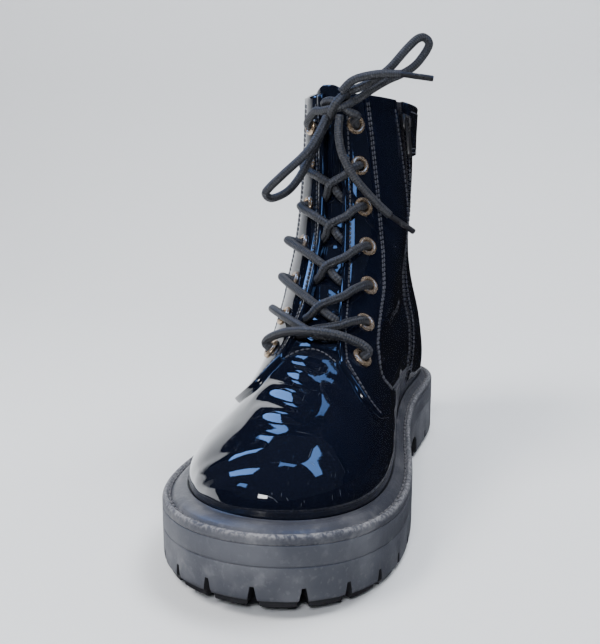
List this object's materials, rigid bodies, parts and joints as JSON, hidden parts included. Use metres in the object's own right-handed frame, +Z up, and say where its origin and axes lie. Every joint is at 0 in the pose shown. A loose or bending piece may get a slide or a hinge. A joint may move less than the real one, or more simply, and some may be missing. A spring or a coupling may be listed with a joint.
{
  "type": "combat boot",
  "caption": "Right ankle combat boot in patent leather: lug sole with heel, seven-eyelet lacing with bow, medial side zip with hanging pull, hollow shaft.",
  "frame": {"origin": "on the floor, under the middle of the sole's length and width", "axes": "+Z up, -Y to the toe, +X to the medial side of a right foot"},
  "size_m": [0.1044, 0.2806, 0.2195],
  "materials": {
    "aglet_plastic": "black shrunk film",
    "eyelet_metal": "pale gold plated",
    "patent_leather": "mirror-gloss black patent coating over leather board, blue-black, softly creased",
    "insole_cloth": "black cloth sock",
    "lace_cotton": "waxed round braid, dark grey-black",
    "midsole_rubber": "matt charcoal rubber, smooth band",
    "outsole_rubber": "matt charcoal rubber with dust and scuffs on the lugs",
    "welt_rubber": "matt dark rubber with a stitched groove and dusty lip",
    "zip_coil": "black nylon coil",
    "zip_metal": "black enamel",
    "zip_webbing": "matt black woven tape"
  },
  "bodies": {
    "boot": {"aglet_lower": "aglet_plastic", "aglet_upper": "aglet_plastic", "eyelet_lateral_1": "eyelet_metal", "eyelet_lateral_2": "eyelet_metal", "eyelet_lateral_3": "eyelet_metal", "eyelet_lateral_4": "eyelet_metal", "eyelet_lateral_5": "eyelet_metal", "eyelet_lateral_6": "eyelet_metal", "eyelet_lateral_7": "eyelet_metal", "eyelet_medial_1": "eyelet_metal", "eyelet_medial_2": "eyelet_metal", "eyelet_medial_3": "eyelet_metal", "eyelet_medial_4": "eyelet_metal", "eyelet_medial_5": "eyelet_metal", "eyelet_medial_6": "eyelet_metal", "eyelet_medial_7": "eyelet_metal", "eyestay_lateral": "patent_leather", "eyestay_medial": "patent_leather", "insole": "insole_cloth", "lace_bar": "lace_cotton", "lace_crossing_1": "lace_cotton", "lace_crossing_2": "lace_cotton", "lace_crossing_3": "lace_cotton", "lace_crossing_4": "lace_cotton", "lace_crossing_5": "lace_cotton", "lace_end_lower": "lace_cotton", "lace_end_upper": "lace_cotton", "lace_knot": "lace_cotton", "lace_loop_lower": "lace_cotton", "lace_loop_upper": "lace_cotton", "midsole": "midsole_rubber", "outsole": "outsole_rubber", "rear_collar": "patent_leather", "tongue": "patent_leather", "upper": "patent_leather", "welt": "welt_rubber", "zip_chain": "zip_coil", "zip_slider": "zip_metal", "zip_tape": "zip_webbing"},
    "pull": {"zip_pull": "zip_metal"}
  },
  "joints": [
    {"name": "zip_pull_swing", "type": "hinge", "parent": "boot", "child": "pull", "pos_m": [0.0241, 0.05906, 0.17997], "axis": [-0.148, -0.9771, 0.1531], "range_deg": [0, 160]}
  ]
}
